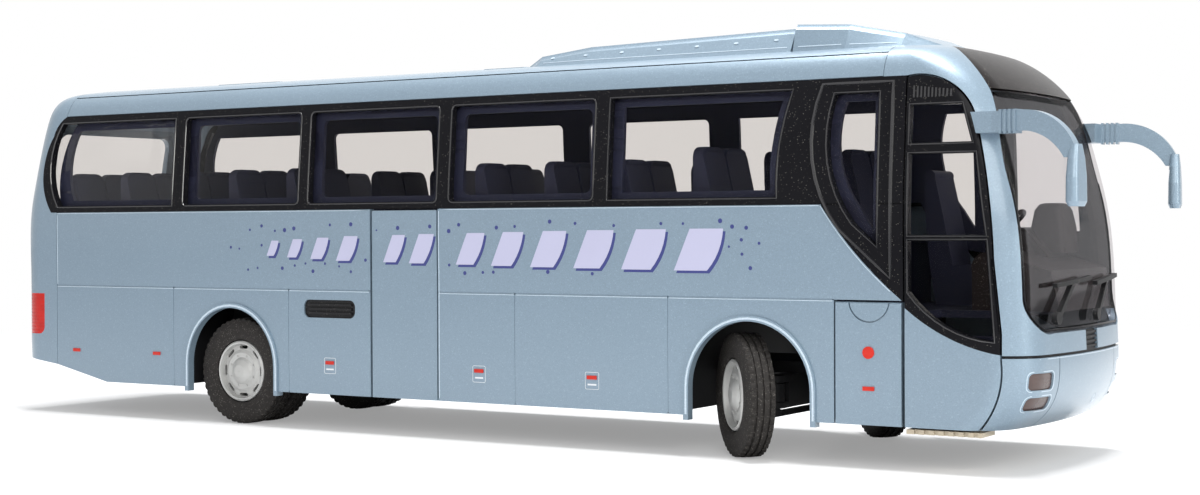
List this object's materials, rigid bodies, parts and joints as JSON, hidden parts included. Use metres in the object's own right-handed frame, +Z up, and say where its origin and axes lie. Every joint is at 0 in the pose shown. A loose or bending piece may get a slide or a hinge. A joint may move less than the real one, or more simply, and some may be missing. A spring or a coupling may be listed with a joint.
{
  "type": "scale model coach",
  "caption": "Die-cast scale model of a touring coach with glazed cabin, steered front wheels, twin rear wheels, opening doors and a service flap.",
  "frame": {"origin": "on the ground under the middle of the model's length and width", "axes": "+X forward along the coach, +Y to its left (driver's side), +Z up; the doors are on the -Y side"},
  "size_m": [0.2863, 0.0684, 0.089],
  "materials": {
    "body_paint": "metallic",
    "black_band": "gloss",
    "black_plastic": "satin",
    "clear_glazing": "gloss",
    "smoked_lamp": "gloss",
    "red_lamp": "gloss",
    "mirror_film": "polished",
    "base_plastic": "satin",
    "steel_rod": "satin",
    "silver_rim": "satin",
    "tyre": "matte",
    "interior_plastic": "satin",
    "dash_plastic": "satin",
    "tread_plastic": "matte"
  },
  "bodies": {
    "coach": {"side_panel_right": "body_paint", "side_panel_left": "body_paint", "roof_panel": "body_paint", "rear_cap": "body_paint", "front_mask": "body_paint", "front_bumper": "body_paint", "air_conditioner": "body_paint", "roof_hatches": "body_paint", "mirror_arm_right": "body_paint", "mirror_arm_left": "body_paint", "window_band_right": "black_band", "window_band_left": "black_band", "windscreen_cap": "black_band", "front_grille": "black_plastic", "side_vents": "black_plastic", "wipers": "black_plastic", "side_glass_right": "clear_glazing", "side_glass_left": "clear_glazing", "rear_window": "clear_glazing", "windscreen": "clear_glazing", "front_lamps": "smoked_lamp", "tail_lamps": "red_lamp", "side_markers": "red_lamp", "mirror_glass": "mirror_film", "chassis_plate": "base_plastic", "front_axle_beam": "base_plastic", "cabin_floor": "interior_plastic", "entry_steps": "interior_plastic", "passenger_seats": "interior_plastic", "cabin_liner": "interior_plastic", "driver_seat": "interior_plastic", "dashboard": "dash_plastic", "steering_wheel": "dash_plastic", "entry_tread": "tread_plastic"},
    "front_wheel_right": {"front_rim_right": "silver_rim", "front_tyre_right": "tyre"},
    "front_wheel_left": {"front_rim_left": "silver_rim", "front_tyre_left": "tyre"},
    "knuckle_right": {"steering_knuckle_right": "base_plastic"},
    "knuckle_left": {"steering_knuckle_left": "base_plastic"},
    "steering_rod": {"track_rod": "base_plastic"},
    "rear_axle": {"rear_axle_rod": "steel_rod", "rear_rims": "silver_rim", "rear_tyres": "tyre"},
    "entry_door": {"entry_door_frame": "black_band", "entry_door_panel": "body_paint", "entry_door_glass": "clear_glazing"},
    "middle_door": {"mid_door": "body_paint"},
    "front_flap": {"service_flap": "body_paint", "flap_reflectors": "red_lamp"}
  },
  "joints": [
    {"name": "steer_right", "type": "hinge", "parent": "coach", "child": "knuckle_right", "pos_m": [0.074, -0.0192, 0.0128], "axis": [0, 0, 1], "range_deg": [0, 90]},
    {"name": "steer_left", "type": "hinge", "parent": "coach", "child": "knuckle_left", "pos_m": [0.074, 0.0192, 0.0128], "axis": [0, 0, 1], "range_deg": [0, 90]},
    {"name": "rod_swing", "type": "hinge", "parent": "knuckle_right", "child": "steering_rod", "pos_m": [0.06905, -0.01425, 0.0076], "axis": [0, 0, 1], "range_deg": [-90, 0]},
    {"name": "front_spin_right", "type": "hinge", "parent": "knuckle_right", "child": "front_wheel_right", "pos_m": [0.0694, -0.0238, 0.0128], "axis": [0.7071, 0.7071, 0], "continuous": true},
    {"name": "front_spin_left", "type": "hinge", "parent": "knuckle_left", "child": "front_wheel_left", "pos_m": [0.0786, 0.0238, 0.0128], "axis": [0.7071, 0.7071, 0], "continuous": true},
    {"name": "rear_spin", "type": "hinge", "parent": "coach", "child": "rear_axle", "pos_m": [-0.067, 0, 0.0128], "axis": [0, 1, 0], "continuous": true},
    {"name": "entry_door_swing", "type": "hinge", "parent": "coach", "child": "entry_door", "pos_m": [0.1257, -0.0289, 0.02], "axis": [0, 0, 1], "range_deg": [0, 85]},
    {"name": "middle_door_swing", "type": "hinge", "parent": "coach", "child": "middle_door", "pos_m": [-0.0237, -0.02915, 0.03], "axis": [0, 0, -1], "range_deg": [0, 85]},
    {"name": "flap_lift", "type": "hinge", "parent": "coach", "child": "front_flap", "pos_m": [0.0995, -0.02915, 0.0321], "axis": [-1, 0, 0], "range_deg": [0, 85]}
  ],
  "couplings": [
    {"joint": "steer_left", "follows": "steer_right", "ratio": 1},
    {"joint": "rod_swing", "follows": "steer_right", "ratio": -1}
  ]
}
